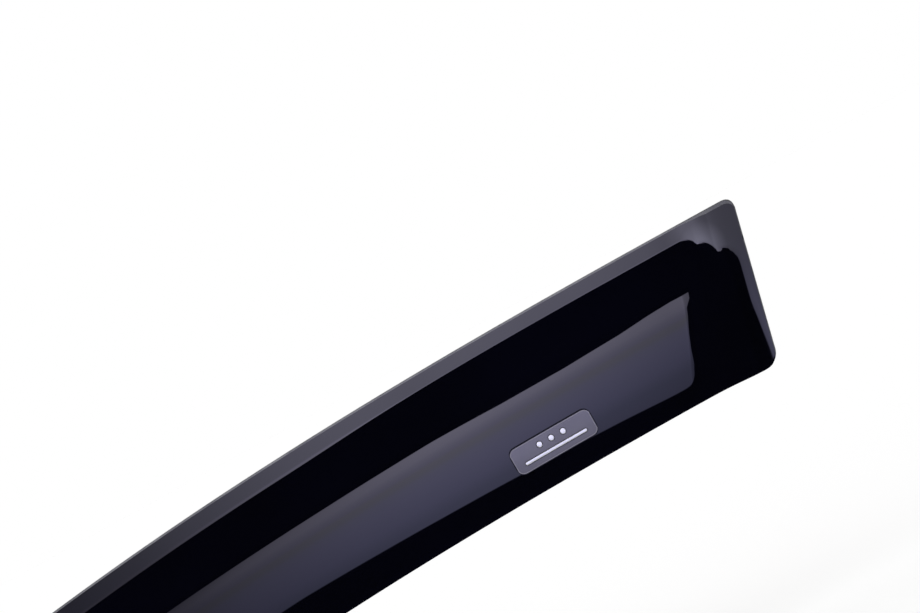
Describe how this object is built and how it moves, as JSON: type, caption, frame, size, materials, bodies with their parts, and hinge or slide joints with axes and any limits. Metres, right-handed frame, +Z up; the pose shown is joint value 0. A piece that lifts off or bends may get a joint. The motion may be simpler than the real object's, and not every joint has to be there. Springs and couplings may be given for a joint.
{
  "type": "window rain deflector",
  "caption": "Curved smoked acrylic visor for a car side window, with a flat taped flange, a bulged lower edge, a rounded front tip and a small badge.",
  "frame": {"origin": "on the rear face of the release liner, at the middle of the top tape's width and half way along the part", "axes": "as mounted on a left front door: +X along the window towards the rear end, +Z up, +Y out of the taped face towards the door; the outer face looks along -Y"},
  "size_m": [0.8937, 0.0238, 0.1762],
  "materials": {
    "smoked_acrylic": "polished, deep smoke tint",
    "foam_tape": "matte closed-cell foam",
    "red_liner": "glossy film",
    "badge_pad": "matte adhesive pad",
    "badge_grey": "satin smoke grey",
    "bright_trim": "polished"
  },
  "bodies": {
    "root": {"visor_shell": "smoked_acrylic", "top_foam_tape": "foam_tape", "end_foam_tape": "foam_tape", "top_release_liner": "red_liner", "end_release_liner": "red_liner", "badge_adhesive": "badge_pad", "badge_plate": "badge_grey", "badge_ornament": "bright_trim"}
  },
  "joints": []
}
